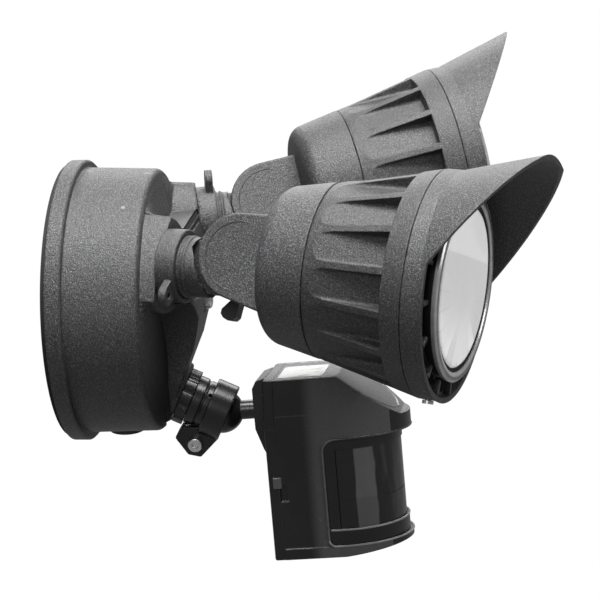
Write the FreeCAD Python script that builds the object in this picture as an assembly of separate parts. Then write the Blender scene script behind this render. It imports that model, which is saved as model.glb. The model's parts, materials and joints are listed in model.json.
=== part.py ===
import FreeCAD, Part
import math
import os

# Twin-head motion sensor security light, in millimetres.
# Origin: centre of the wall face. +Z is up, the wall is the plane y = 0, and the light stands out along -Y.

Vec = FreeCAD.Vector
Rot = FreeCAD.Rotation

# ---------------------------------------------------------------- driving dimensions
# Canopy: round die-cast box over a 4 inch junction box
canopyRadius = 66.8
canopyDepth = 47.5
canopyWall = 3.0
drumRadiusRear = 63.2
drumRadiusFront = 62.2
rimDepth = 9.4
gasketThick = 2.2
strapHolePitch = 88.9      # spacing of the screw holes of a 4 inch junction box
strapThick = 2.0
strapWidth = 19.0
strapSlot = 3.5            # half the straight run of its slots
strapSlotRadius = 2.3
strapHalf = strapHolePitch / 2 + strapSlot + strapSlotRadius + 1.35
screwRadius = 2.5

# Arms: each boss stands on the canopy front and splays outward
bossX = 41.5
bossZ = 27.8
bossY = -64.6              # front plane of the lock ring, on the arm axis
bossSplay = 13.9           # degrees outward from straight ahead
bossRadius = 22.0
lockRingDepth = 9.6
lockRingRadius = 16.8
tubeRadius = 14.2
pivotReach = 26.0          # from the lock ring's front plane to the tilt bolt

# Lamp head, measured forward from the tilt bolt, radii about the head's own axis
headOffset = 4.8           # the head's own axis stands this far above the tilt bolt
capRear = 18.8
capRadius = 35.2
seamOne = 43.0
seamOneRadius = 39.4
seamTwo = 91.7
seamTwoRadius = 50.2
bezelFront = 98.6
lensRingFront = 104.7
lensRingRadius = 41.4
rimFront = 101.0           # front edge of the bezel where there is no shade
lensRingBack = 102.3        # rear of the lens ring's flange
lensRadius = 35.1
hoodReach = 135.2
hoodFlare = 0.287
mouthStart = 4.9            # the shade begins this far above the head's own axis
mouthSlope = 0.652
slotCount = 16
slotPhase = 14.0            # degrees
ribCount = 16
castWall = 3.0

# Head poses at rest, in degrees
nearSwivel = 21.0
nearTilt = -3.5
farSwivel = 29.0
farTilt = 8.0
knobRest = 16.0            # how far the knob's lower lobe leans back

# Sensor mount and sensor
socketDrop = 24.5          # the socket axis points this far below straight ahead
socketY = -50.4
socketZ = -47.8
clampRadius = 12.8
clampScrewY = -18.7
clampScrewZ = 15.3
ballRadius = 10.6
ballReach = 20.9
stemRadius = 4.2
sensorWidth = 60.0
sensorTopWidth = 49.0
sensorTop = 17.3           # above the ball centre
sensorBottom = -67.6
sensorBack = -24.0         # the rear face, ahead of the ball centre
coverSeam = -29.2          # where the rear cover meets the housing
sensorFront = -88.0
sensorRoll = 9.0
sensorPitch = 3.6
lensTop = -14.0
lensBottom = -57.0
windowHalf = 28.0
windowEdge = -50.4          # where the side walls end and the lens window begins
dialPlaces = (-14.0, 0.0, 14.0)
dialY = -68.0

# Clearances
slideGap = 0.30
fitGap = 0.05


# ---------------------------------------------------------------- small helpers
def ring(outer, inner, z0, z1):
    body = Part.makeCylinder(outer, z1 - z0, Vec(0, 0, z0))
    bore = Part.makeCylinder(inner, z1 - z0 + 2, Vec(0, 0, z0 - 1))
    return body.cut(bore)


def disc(radius, z0, z1, x=0.0, y=0.0):
    return Part.makeCylinder(radius, z1 - z0, Vec(x, y, z0))


def turned(points):
    """A solid of revolution about Z from (radius, z) corners."""
    outline = [Vec(r, 0, z) for r, z in points]
    face = Part.Face(Part.makePolygon(outline + [outline[0]]))
    return face.revolve(Vec(0, 0, 0), Vec(0, 0, 1), 360)


def block(x0, x1, y0, y1, z0, z1):
    return Part.makeBox(x1 - x0, y1 - y0, z1 - z0, Vec(x0, y0, z0))


def rodAlongX(radius, x0, x1, y=0.0, z=0.0):
    return Part.makeCylinder(radius, x1 - x0, Vec(x0, y, z), Vec(1, 0, 0))


def hexAlong(width, height, base, direction):
    radius = width / 3 ** 0.5
    corners = [Rot(Vec(0, 0, 1), 60 * i).multVec(Vec(radius, 0, 0)) for i in range(7)]
    prism = Part.Face(Part.makePolygon(corners)).extrude(Vec(0, 0, height))
    prism.Placement = FreeCAD.Placement(base, Rot(Vec(0, 0, 1), direction))
    return prism


def softened(shape, radius, chosen):
    """Rounds the edges for which chosen(edge) is true."""
    edges = [e for e in shape.Edges if chosen(e)]
    return shape.makeFillet(radius, edges) if edges else shape


def tangentPoint(centre, radius, outside, turn):
    """Where the tangent from an outside point touches a circle in the YZ plane."""
    away = outside - centre
    swing = math.degrees(math.acos(radius / away.Length)) * turn
    return centre + Rot(Vec(1, 0, 0), swing).multVec(away).normalize() * radius


def placed(shape, origin, rotation):
    copy = shape.copy()
    copy.Placement = FreeCAD.Placement(origin, rotation).multiply(copy.Placement)
    return copy


# ---------------------------------------------------------------- frames of the moving groups
def armAxis(side):
    return Rot(Vec(0, 0, 1), side * bossSplay).multVec(Vec(0, -1, 0))


def armOrigin(side):
    return Vec(side * bossX, bossY, bossZ)


def armFrame(side, swivel):
    """Local X to the light's right, Y up, Z along the arm, turned by the swivel angle."""
    axis = armAxis(side)
    across = Vec(0, 0, 1).cross(axis)
    level = Rot(across, Vec(0, 0, 1), axis, "ZXY")
    return Rot(axis, -swivel).multiply(level)


def headFrame(side, swivel, tilt):
    arm = armFrame(side, swivel)
    return arm.multiply(Rot(Vec(1, 0, 0), -tilt))


def pivotPoint(side):
    return armOrigin(side) + armAxis(side) * pivotReach


def socketFrame():
    """Local X across, Z along the sensor socket, Y up and forward of it."""
    return Rot(Vec(1, 0, 0), 90 + socketDrop)


def socketOrigin():
    return Vec(0, socketY, socketZ)


def ballPoint():
    return socketOrigin() + socketFrame().multVec(Vec(0, 0, ballReach))


def sensorFrame():
    """Local X across, Y back, Z up: rolled about Y and pitched nose up about the ball."""
    roll = Rot(Vec(0, 1, 0), sensorRoll)
    pitch = Rot(Vec(1, 0, 0), -sensorPitch)
    return roll.multiply(pitch)


# ---------------------------------------------------------------- canopy
def wallGasket():
    flat = ring(canopyRadius - 2.0, math.hypot(strapHalf, strapWidth / 2) + slideGap, 0, gasketThick)
    return placed(flat, Vec(0, 0, 0), Rot(Vec(1, 0, 0), 90))


def trefoilPlan(lobeRadius, z0, z1):
    """The raised front of the canopy seen from ahead: two upper lobes, one lower, waisted between."""
    lobes = [Vec(-bossX + 4, bossZ, 0), Vec(bossX - 4, bossZ, 0), Vec(0, -38, 0)]
    solid = None
    for i in range(3):
        a = lobes[i]
        b = lobes[(i + 1) % 3]
        along = (b - a).normalize()
        side = Vec(-along.y, along.x, 0) * (lobeRadius * 0.62)
        web = Part.Face(Part.makePolygon([a - side, b - side, b + side, a + side, a - side]))
        piece = web.extrude(Vec(0, 0, z1 - z0)).fuse(disc(lobeRadius, 0, z1 - z0, a.x, a.y))
        solid = piece if solid is None else solid.fuse(piece)
    centre = Part.Face(Part.makePolygon(lobes + [lobes[0]])).extrude(Vec(0, 0, z1 - z0))
    solid = solid.fuse(centre)
    waistRadius = 36.0
    waistIn = lobeRadius - 15.5
    for side in (-1, 1):
        upper = Vec(side * (bossX - 4), bossZ, 0)
        along = (lobes[2] - upper).normalize()
        outward = Vec(side * abs(along.y), -abs(along.x), 0)
        centreOfWaist = (upper + lobes[2]) * 0.5 + outward * (waistRadius + waistIn)
        solid = solid.cut(disc(waistRadius, 0, z1 - z0, centreOfWaist.x, centreOfWaist.y))
    solid = solid.removeSplitter()
    solid.translate(Vec(0, 0, z0))
    return solid


def canopyHousing():
    rimFront = rimDepth
    face = canopyDepth
    shellProfile = [
        (canopyRadius, gasketThick), (canopyRadius, rimFront - 0.8), (canopyRadius - 0.8, rimFront),
        (drumRadiusRear, rimFront), (drumRadiusFront, face), (0, face), (0, face - canopyWall),
        (drumRadiusFront - canopyWall - 1, face - canopyWall), (drumRadiusRear - canopyWall, gasketThick)]
    drum = turned(shellProfile)
    drum = softened(drum, 3.2, lambda e: e.BoundBox.ZMin > face - 0.01 and e.BoundBox.XMax > drumRadiusFront - 1)
    drum = placed(drum, Vec(0, 0, 0), Rot(Vec(1, 0, 0), 90))

    # raised trefoil front, sloped back below the centre towards the sensor boss
    plan = trefoilPlan(17.5, face - 6, -bossY)
    plan = placed(plan, Vec(0, 0, 0), Rot(Vec(1, 0, 0), 90))
    keep = Part.Face(Part.makePolygon([
        Vec(-80, -canopyDepth + 6, 60), Vec(-80, bossY, 60), Vec(-80, bossY, -3),
        Vec(-80, -60.0, -20.5), Vec(-80, -43.0, -60.5), Vec(-80, -canopyDepth + 6, -62.5),
        Vec(-80, -canopyDepth + 6, 60)])).extrude(Vec(160, 0, 0))
    front = plan.common(keep)
    for side in (-1, 1):
        arm = armFrame(side, 0)
        bossLength = 31.0
        boss = Part.makeCone(bossRadius + 2.4, bossRadius, bossLength)
        boss = softened(boss, 1.4, lambda e: e.BoundBox.ZMin > bossLength - 0.1)
        boss = placed(boss, armOrigin(side), arm)
        boss.translate(armAxis(side) * (-lockRingDepth - bossLength))
        front = front.fuse(boss)
    inner = Part.makeCylinder(drumRadiusFront - 3.2, 80, Vec(0, -canopyDepth + 8, 0), Vec(0, -1, 0))
    front = front.common(inner)
    bossLow = Part.makeCone(19.5, 15.4, 22)
    bossLow = softened(bossLow, 1.4, lambda e: e.BoundBox.ZMin > 21.9)
    bossLow = placed(bossLow, socketOrigin(), socketFrame())
    bossLow.translate(socketFrame().multVec(Vec(0, 0, -22)))
    bossLow = bossLow.common(inner)
    front = front.fuse(bossLow)
    solid = drum.fuse(front)

    # scallops that let the lock rings turn beside the raised centre
    for side in (-1, 1):
        scallop = placed(disc(lockRingRadius + 2.4, -lockRingDepth, 12), armOrigin(side), armFrame(side, 0))
        solid = solid.cut(scallop)
        bore = placed(disc(11.4, -60, 1), armOrigin(side), armFrame(side, 0))
        solid = solid.cut(bore)
    solid = solid.cut(placed(disc(9.0, -50, 1), socketOrigin(), socketFrame()))
    solid = solid.cut(placed(disc(15.9, 0, 12), socketOrigin(), socketFrame()))

    # hollow of the casting behind the raised front
    hollow = trefoilPlan(12.5, face - 8, -bossY - 4.5)
    hollow = placed(hollow, Vec(0, 0, 0), Rot(Vec(1, 0, 0), 90))
    keepInner = keep.copy()
    keepInner.translate(Vec(0, 5.0, 3.0))
    solid = solid.cut(hollow.common(keepInner).common(block(-27, 27, -90, 0, -36, 60)))

    # centre bore and counterbore of the mounting screw
    post = Part.makeCylinder(6.5, -bossY - 4, Vec(0, -4.0, 0), Vec(0, -1, 0))
    solid = solid.fuse(post)
    solid = solid.cut(Part.makeCylinder(2.9, 90, Vec(0, 0, 0), Vec(0, -1, 0)))
    # threaded hole for the closure plug under the drum
    solid = solid.cut(Part.makeCylinder(6.4, 12, Vec(0, -22.5, -70), Vec(0, 0, 1)))
    return solid.removeSplitter()


def mountingStrap():
    """Steel cross strap screwed to the junction box; the centre screw threads into it."""
    halfWidth = strapWidth / 2
    strap = block(-strapHalf, strapHalf, -strapThick, 0, -halfWidth, halfWidth)
    for side in (-1, 1):
        x = side * strapHolePitch / 2
        slot = block(x - strapSlot, x + strapSlot, -5, 2, -strapSlotRadius, strapSlotRadius)
        for end in (-strapSlot, strapSlot):
            slot = slot.fuse(Part.makeCylinder(strapSlotRadius, 7, Vec(x + end, 2, 0), Vec(0, -1, 0)))
        strap = strap.cut(slot)
    return strap.cut(Part.makeCylinder(screwRadius + fitGap, 9, Vec(0, 2, 0), Vec(0, -1, 0)))


def centreScrew():
    headHeight = 3.0
    head = Part.makeCylinder(4.6, headHeight, Vec(0, bossY, 0), Vec(0, -1, 0))
    head = softened(head, 1.4, lambda e: e.BoundBox.YMax < bossY - headHeight + 0.1)
    shank = Part.makeCylinder(screwRadius, -bossY - 0.4, Vec(0, -0.4, 0), Vec(0, -1, 0))
    cross = block(-3, 3, bossY - 4, bossY - 1.8, -0.5, 0.5)
    cross = cross.fuse(block(-0.5, 0.5, bossY - 4, bossY - 1.8, -3, 3))
    return head.fuse(shank).cut(cross)


def closurePlug():
    z = -drumRadiusRear
    head = Part.makeCylinder(8.6, 2.4, Vec(0, -22.5, z - 2.4), Vec(0, 0, 1))
    head = head.cut(block(-1, 1, -40, 0, z - 4, z - 1.4))
    shank = Part.makeCylinder(6.35, 7.0, Vec(0, -22.5, z), Vec(0, 0, 1))
    return head.fuse(shank)


# ---------------------------------------------------------------- arms, in the arm frame
def lockRing(side):
    """Retaining ring of a swivel, with one pierced ear for a spanner."""
    body = ring(lockRingRadius, tubeRadius + slideGap, -lockRingDepth + slideGap, 0)
    body = softened(body, 0.8, lambda e: e.BoundBox.ZMin > -0.01 and e.BoundBox.XMax > lockRingRadius - 1)
    back = ring(lockRingRadius, 11.6, -lockRingDepth + slideGap, -lockRingDepth + 2.0 + slideGap)
    earThick = 3.4
    earReach = 21.6
    z0 = -4.6
    ear = disc(4.6, z0, z0 + earThick, 0, earReach)
    ear = ear.fuse(block(-4.6, 4.6, lockRingRadius - 1.4, earReach, z0, z0 + earThick))
    ear = ear.cut(disc(1.7, z0 - 1, z0 + earThick + 1, 0, earReach))
    turn = 112 if side < 0 else 8
    ear.rotate(Vec(0, 0, 0), Vec(0, 0, 1), turn)
    return body.fuse(back).fuse(ear).removeSplitter()


def swivelStem(side):
    """Round arm that turns in its boss, ending in a flat tongue for the tilt joint."""
    rear = -lockRingDepth - 8.0
    tongueHalf = 4.8
    neck = 4.6
    tube = turned([
        (11.4 - slideGap, rear), (11.4 - slideGap, -lockRingDepth + 2.0 + 2 * slideGap),
        (tubeRadius, -lockRingDepth + 2.0 + 2 * slideGap), (tubeRadius, 0.8), (tubeRadius - 0.7, 1.2),
        (tubeRadius - 0.7, 2.0), (tubeRadius, 2.4), (tubeRadius, neck - 1.6), (tubeRadius - 1.6, neck),
        (6.0, neck), (6.0, rear)])
    tongue = rodAlongX(13.0, -tongueHalf, tongueHalf, 0, pivotReach)
    tongue = tongue.fuse(block(-tongueHalf, tongueHalf, -12.0, 12.0, neck - 3.0, pivotReach))
    tongue = tongue.common(disc(13.2, 0, 60).fuse(block(-9, 9, -14, 14, neck, 60)))
    tongue = tongue.cut(rodAlongX(3.1, -9, 9, 0, pivotReach))
    wirePath = disc(3.2, 0, neck + 3.0)
    return tube.fuse(tongue).cut(wirePath).removeSplitter()


def stemSeal():
    """O-ring in the groove between the stem and its boss."""
    return Part.makeTorus(8.9, 1.9, Vec(0, 0, -lockRingDepth - 9.95))


# ---------------------------------------------------------------- lamp head, in the head frame
def coneRadius(z):
    return seamOneRadius + (seamTwoRadius - seamOneRadius) * (z - seamOne) / (seamTwo - seamOne)


def rearCap():
    wall = castWall
    outer = turned([
        (0, capRear - 1.6), (capRadius - 0.6, capRear - 0.4), (seamOneRadius, seamOne), (0, seamOne)])
    outer = softened(outer, 7.5, lambda e: e.BoundBox.ZMax < capRear and e.BoundBox.XMax > capRadius - 2)
    inner = turned([
        (0, capRear + 2.2), (capRadius - 9.0, capRear + 3.8), (capRadius - wall, capRear + 8.5),
        (seamOneRadius - wall, seamOne + 1), (0, seamOne + 1)])
    cap = outer.cut(inner)
    outlineCentre = Vec(0, 0.6, 1.6)
    cheekRadius = 19.5
    cheekIn = 4.8 + slideGap
    cheekOut = 10.4
    reach = capRear + 5.0
    topEnd = Vec(0, 21.0, reach)
    lowEnd = Vec(0, -25.0, reach)
    topTouch = tangentPoint(outlineCentre, cheekRadius, topEnd, -1)
    lowTouch = tangentPoint(outlineCentre, cheekRadius, lowEnd, 1)
    backPoint = outlineCentre - Vec(0, 0, cheekRadius)
    outline = Part.Wire([
        Part.Arc(topTouch, backPoint, lowTouch).toShape(), Part.makeLine(lowTouch, lowEnd),
        Part.makeLine(lowEnd, topEnd), Part.makeLine(topEnd, topTouch)])
    for x0, x1 in ((-cheekOut, -cheekIn), (cheekIn, cheekOut)):
        cheek = Part.Face(outline).extrude(Vec(x1 - x0, 0, 0)).translated(Vec(x0, 0, 0))
        rimX = x0 if x0 < 0 else x1
        cheek = softened(cheek, 1.0, lambda e, at=rimX: abs(e.BoundBox.XMax - at) < 1e-6
                         and abs(e.BoundBox.XMin - at) < 1e-6 and e.BoundBox.ZMin < reach - 0.5)
        cap = cap.fuse(cheek)
    cap = cap.cut(rodAlongX(3.1, -8.4, 20, -headOffset, 0))
    slotCut = block(-cheekIn, cheekIn, -40, 40, -20, capRear - 2.2)
    return cap.cut(slotCut).removeSplitter()


def heatSink():
    """Cast body of the head: a tapered shell with wedge-shaped pockets that leave radial ribs."""
    ribStart = seamOne + 3.5
    bandStart = seamTwo - 10.0
    pocketDepth = 6.5
    wall = 3.2
    outer = turned([
        (0, seamOne + 0.4), (seamOneRadius - 0.2, seamOne + 0.4), (seamTwoRadius, seamTwo - 0.4),
        (0, seamTwo - 0.4)])
    floorFront = coneRadius(bandStart) - pocketDepth
    inner = turned([
        (0, bandStart - 8.0), (floorFront - wall - 0.4, bandStart - 8.0), (floorFront - wall, bandStart + 1.0),
        (coneRadius(bandStart) - wall, bandStart + 5.0), (seamTwoRadius - wall, seamTwo + 1), (0, seamTwo + 1)])
    rearHollow = turned([
        (0, seamOne - 1), (seamOneRadius - wall - 3, seamOne - 1), (seamOneRadius - wall - 6, bandStart - 14.0),
        (0, bandStart - 14.0)])
    body = outer.cut(inner).cut(rearHollow)
    pitch = 360.0 / ribCount
    ribHalf = 1.6
    halfChord = coneRadius(bandStart) * math.tan(math.pi / ribCount) - ribHalf
    rearChord = coneRadius(ribStart) * math.tan(math.pi / ribCount) - ribHalf
    floorRear = coneRadius(ribStart) - 0.2
    wedge = Part.makeLoft([
        Part.makePolygon([Vec(floorRear, -rearChord, ribStart), Vec(floorRear + 9, -rearChord - 1.6, ribStart),
                          Vec(floorRear + 9, rearChord + 1.6, ribStart), Vec(floorRear, rearChord, ribStart),
                          Vec(floorRear, -rearChord, ribStart)]),
        Part.makePolygon([Vec(floorFront, -halfChord + 1.2, bandStart),
                          Vec(floorFront + 17, -halfChord - 1.9, bandStart),
                          Vec(floorFront + 17, halfChord + 1.9, bandStart),
                          Vec(floorFront, halfChord - 1.2, bandStart),
                          Vec(floorFront, -halfChord + 1.2, bandStart)])], True)
    wedge = softened(wedge, 1.5, lambda e: abs(e.BoundBox.ZLength - (bandStart - ribStart)) < 0.5
                     and e.CenterOfMass.x < coneRadius(e.CenterOfMass.z) - 1)
    pockets = []
    for i in range(ribCount):
        copy = wedge.copy()
        copy.rotate(Vec(0, 0, 0), Vec(0, 0, 1), pitch * (i + 0.5))
        pockets.append(copy)
    return body.cut(Part.makeCompound(pockets))


def hoodShade():
    """Front bezel with the shade: one flared tube cut off on a slant, longest above the lens."""
    wall = 2.4
    webFront = rimFront - 3.0
    webBore = lensRadius - 1.1
    tipRadius = seamTwoRadius + hoodFlare * (hoodReach - bezelFront)
    webRadius = seamTwoRadius + 0.1 - wall
    outer = turned([
        (0, seamTwo), (seamTwoRadius, seamTwo), (seamTwoRadius + 0.1, bezelFront),
        (tipRadius, hoodReach), (0, hoodReach)])
    inner = turned([
        (0, webFront), (webRadius, webFront), (webRadius, bezelFront),
        (tipRadius - wall, hoodReach + 0.01), (0, hoodReach + 0.01)])
    tube = outer.cut(inner)
    tube = tube.cut(disc(webBore, seamTwo - 1, rimFront))
    rebate = disc(seamTwoRadius - 3.4, seamTwo - 1, seamTwo + 0.01)
    tube = tube.cut(rebate)
    # the slanted mouth: level with the rim at the sides and below, rising to the tip above
    yTop = (hoodReach - rimFront) / mouthSlope + mouthStart
    cutter = Part.Face(Part.makePolygon([
        Vec(-90, -90, rimFront), Vec(-90, mouthStart, rimFront), Vec(-90, yTop, hoodReach),
        Vec(-90, yTop, hoodReach + 40), Vec(-90, -90, hoodReach + 40),
        Vec(-90, -90, rimFront)])).extrude(Vec(180, 0, 0))
    tube = tube.cut(cutter)
    # pockets between the rim and the lens ring, parted by thin radial ribs
    pockets = ring(webRadius - 1.2, lensRingRadius - 1.4, seamTwo + 2.0, rimFront)
    ribs = []
    for i in range(slotCount):
        rib = block(30.0, 60.0, -0.9, 0.9, seamTwo, rimFront + 1)
        rib.rotate(Vec(0, 0, 0), Vec(0, 0, 1), 360.0 / slotCount * i + slotPhase)
        ribs.append(rib)
    tube = tube.cut(pockets.cut(Part.makeCompound(ribs)))
    screwHole = Part.makeCylinder(1.55, 12, Vec(0, -seamTwoRadius - 2, seamTwo + 3.2), Vec(0, 1, 0))
    return tube.cut(screwHole).removeSplitter()


def lensRing():
    """Bright ring round the lens: a collar on the bezel's web, with a thin flange in front."""
    collar = lensRingRadius - 2.2
    bore = lensRadius + 1.8
    seat = rimFront - 2.8
    return turned([
        (bore, seat), (collar, seat), (collar, lensRingBack), (lensRingRadius, lensRingBack),
        (lensRingRadius, lensRingFront - 0.8), (lensRingRadius - 0.8, lensRingFront),
        (bore + 0.6, lensRingFront), (bore, lensRingFront - 0.6)])


def lensGasket():
    """Dark seal in the ring's bore, round the edge of the lens."""
    return ring(lensRadius + 1.6, lensRadius + 0.2, rimFront - 2.8, lensRingFront - 0.9)


def frontLens():
    seat = rimFront - 2.8
    return turned([
        (0, rimFront + 0.4), (lensRadius - 3.6, rimFront - 0.8), (lensRadius - 1.9, seat), (lensRadius, seat),
        (lensRadius, lensRingFront - 1.5), (lensRadius - 0.8, lensRingFront - 0.7), (17.0, lensRingFront),
        (0, lensRingFront + 0.2)])


def reflector():
    back = seamTwo - 16.1
    front = rimFront - 3.6
    edge = lensRadius - 1.4
    return turned([
        (11.2, back), (13.2, back), (22.0, back + 7.0), (edge, front), (edge - 1.7, front), (20.4, back + 7.6),
        (11.2, back + 1.4)])


def ledBoard():
    z = seamTwo - 18.0
    board = disc(30.0, z, z + 1.6)
    chip = block(-7.5, 7.5, -7.5, 7.5, z + 1.6, z + 2.6)
    dome = disc(6.2, z + 2.6, z + 3.2)
    board = board.fuse(chip).fuse(dome)
    for i in range(3):
        hole = disc(1.7, z - 1, z + 5, 24, 0)
        hole.rotate(Vec(0, 0, 0), Vec(0, 0, 1), 120 * i + 30)
        board = board.cut(hole)
    return board


def bezelScrew():
    y = -seamTwoRadius - 1.8
    z = seamTwo + 3.2
    head = Part.makeCylinder(2.5, 1.6, Vec(0, y, z), Vec(0, 1, 0))
    shank = Part.makeCylinder(1.5, 5.2, Vec(0, y + 1.6, z), Vec(0, 1, 0))
    return head.fuse(shank)


def pivotBolt():
    """Stud of the tilt joint: its head is buried in the outer cheek, its thread takes the knob."""
    return rodAlongX(3.05, -8.4, 22.0)


def washer():
    return rodAlongX(7.0, 10.45, 11.45).cut(rodAlongX(3.15, 10, 12))


def wingKnob():
    """Two-lobed bar knob on the end of the tilt bolt."""
    base = 11.5
    top = base + 11.0
    hub = turned([(0, base), (8.6, base), (8.6, top - 2.0), (6.6, top), (0, top)])
    hub = placed(hub, Vec(0, 0, 0), Rot(Vec(0, 1, 0), 90))
    span = 27.0
    halfWidth = 7.0
    bar = block(base + 2.5, base + 10.0, -span, span, -halfWidth, halfWidth)
    bar = softened(bar, 3.2, lambda e: e.BoundBox.XLength > 4)
    waist = Part.makeCylinder(16.0, 30, Vec(base, 0, 20.2), Vec(1, 0, 0))
    for turn in (0, 180):
        hollow = waist.copy()
        hollow.rotate(Vec(0, 0, 0), Vec(1, 0, 0), turn)
        bar = bar.cut(hollow)
    knob = hub.fuse(bar).removeSplitter()
    knob = knob.cut(rodAlongX(3.1, base - 1, top + 3))
    knob.rotate(Vec(0, 0, 0), Vec(1, 0, 0), knobRest)
    return knob


# ---------------------------------------------------------------- sensor mount, in the socket frame
def lockNut():
    """Lobed nut that holds the sensor socket in the canopy."""
    nut = disc(13.6, 0.0, 5.2)
    lobes = []
    lobeCount = 12
    for i in range(lobeCount):
        groove = disc(1.9, -1, 6, 14.6, 0)
        groove.rotate(Vec(0, 0, 0), Vec(0, 0, 1), 360.0 / lobeCount * i)
        lobes.append(groove)
    nut = nut.cut(Part.makeCompound(lobes))
    return nut.cut(disc(8.6 + fitGap, -1, 6))


def socketTube():
    """Threaded socket: a hollow shank through the canopy and a cup for the ball."""
    cupFront = ballReach + 2.2
    body = turned([
        (5.0, -12.0), (8.6, -12.0), (8.6, 5.2 + slideGap), (12.0, 5.5), (12.0, 9.6), (11.0, 10.4),
        (ballRadius + 1.0, 11.6), (ballRadius + 1.0, cupFront), (8.0, cupFront), (5.0, 8.0)])
    ball = Part.makeSphere(ballRadius + fitGap, Vec(0, 0, ballReach))
    body = body.cut(ball)
    slots = []
    for i in range(4):
        slot = block(7.0, 13.0, -0.8, 0.8, 12.2, cupFront + 1)
        slot.rotate(Vec(0, 0, 0), Vec(0, 0, 1), 45 + 90 * i)
        slots.append(slot)
    return body.cut(Part.makeCompound(slots))


def clampRing():
    """Split ring that squeezes the cup onto the ball, with two ears below."""
    z0 = 13.6
    z1 = 24.4
    inner = ballRadius + 1.0 + fitGap
    body = ring(clampRadius + 1.2, inner, z0, z1)
    body = softened(body, 0.9, lambda e: e.BoundBox.XMax > clampRadius + 1)
    earGap = 1.2
    # in this frame the sky side is +Y turned by the drop of the socket, the ears hang on -Y
    for x0, x1 in ((-5.6, -earGap), (earGap, 5.6)):
        plan = Part.Face(Part.makePolygon([
            Vec(x0, -10.4, z0), Vec(x0, -14.0, z0 - 7.8), Vec(x0, -20.0, z0 - 8.6), Vec(x0, -25.4, z0 + 0.4),
            Vec(x0, -24.0, z0 + 6.6), Vec(x0, -11.8, z1), Vec(x0, -10.4, z1), Vec(x0, -10.4, z0)]))
        ear = plan.extrude(Vec(x1 - x0, 0, 0))
        ear = softened(ear, 1.6, lambda e: e.BoundBox.XLength > 2 and e.BoundBox.YMin < -16)
        body = body.fuse(ear.cut(disc(inner, z0 - 12, z1 + 2)))
    body = body.cut(block(-earGap, earGap, -30, 0, z0 - 12, z1 + 1))
    body = body.cut(rodAlongX(2.1, -20, 20, clampScrewY, clampScrewZ))
    return body.removeSplitter()


def clampScrew():
    y = clampScrewY
    z = clampScrewZ
    head = rodAlongX(3.6, -8.4, -5.65, y, z)
    head = softened(head, 0.9, lambda e: e.BoundBox.XMax < -8.3)
    head = head.cut(hexAlong(3.0, 2.0, Vec(-9.0, y, z), Vec(1, 0, 0)))
    return head.fuse(rodAlongX(2.0, -5.65, 9.6, y, z))


def clampNut():
    y = clampScrewY
    z = clampScrewZ
    nut = hexAlong(7.0, 3.2, Vec(5.65, y, z), Vec(1, 0, 0))
    return nut.cut(rodAlongX(2.05, 5, 10, y, z))


# ---------------------------------------------------------------- sensor, in the sensor frame
def ballStem():
    """Ball and hollow stem; its end disc turns in the back of the sensor."""
    ball = Part.makeSphere(ballRadius)
    stem = Part.makeCylinder(stemRadius + 0.4, -sensorBack + 1.0, Vec(0, 0, 0), Vec(0, -1, 0))
    flange = Part.makeCylinder(7.6, 2.0, Vec(0, sensorBack - 1.0, 0), Vec(0, -1, 0))
    bore = Part.makeCylinder(2.3, 60, Vec(0, 20, 0), Vec(0, -1, 0))
    cone = Part.makeCylinder(5.4, 12, Vec(0, 14.5, 0), Vec(0, -1, 0))
    return ball.fuse(stem).fuse(flange).cut(bore).cut(cone.common(block(-9, 9, 6.4, 20, -9, 9)))


def sensorPlan(width, back, front, shoulder, z0, height):
    """Plan outline with a square back and an elliptical front, extruded up."""
    half = width / 2
    a = Vec(-half, back, z0)
    b = Vec(-half, shoulder, z0)
    d = Vec(half, shoulder, z0)
    e = Vec(half, back, z0)
    run = shoulder - front
    if run > half:
        arc = Part.Ellipse(Vec(0, front, z0), Vec(half, shoulder, z0), Vec(0, shoulder, z0))
    else:
        arc = Part.Ellipse(Vec(half, shoulder, z0), Vec(0, front, z0), Vec(0, shoulder, z0))
    full = Part.Face(Part.Wire([arc.toShape()])).extrude(Vec(0, 0, height))
    rear = block(-half, half, shoulder, back, z0, z0 + height)
    tip = full.common(block(-half - 1, half + 1, front - 1, shoulder, z0, z0 + height))
    return rear.fuse(tip).removeSplitter()


def underRoof(drop, floor):
    """Everything below the roof line: level above the board, then sloping down to the brow."""
    outline = [
        Vec(-60, sensorBack + 10, floor), Vec(-60, sensorBack + 10, sensorTop - drop),
        Vec(-60, -59.5, sensorTop - drop), Vec(-60, -72.0, sensorTop - 9.4 - drop),
        Vec(-60, sensorFront + 1, -4.0 - drop), Vec(-60, sensorFront - 10, -5.4 - drop),
        Vec(-60, sensorFront - 10, floor)]
    return Part.Face(Part.makePolygon(outline + [outline[0]])).extrude(Vec(120, 0, 0))


def underShoulders(shrink, floor):
    """Cross-section of the sensor seen from ahead: upright sides that lean in above the lens."""
    half = sensorWidth / 2 - shrink
    topHalf = sensorTopWidth / 2 - shrink
    outline = [
        Vec(-half - 3, 0, floor), Vec(half + 3, 0, floor), Vec(half + 3, 0, -8), Vec(topHalf, 0, sensorTop - shrink),
        Vec(topHalf, 0, sensorTop + 2), Vec(-topHalf, 0, sensorTop + 2), Vec(-topHalf, 0, sensorTop - shrink),
        Vec(-half - 3, 0, -8)]
    return Part.Face(Part.makePolygon(outline + [outline[0]])).extrude(Vec(0, -130, 0))


def sensorHead(shrink, floor):
    """Upper part of the housing, with its sloping roof and brow."""
    plan = sensorPlan(sensorWidth - 2 * shrink, coverSeam + shrink, sensorFront - 2.6 + shrink, -56.0, floor, 40.0)
    return plan.common(underRoof(shrink, floor - 1)).common(underShoulders(shrink, floor - 1))


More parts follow.
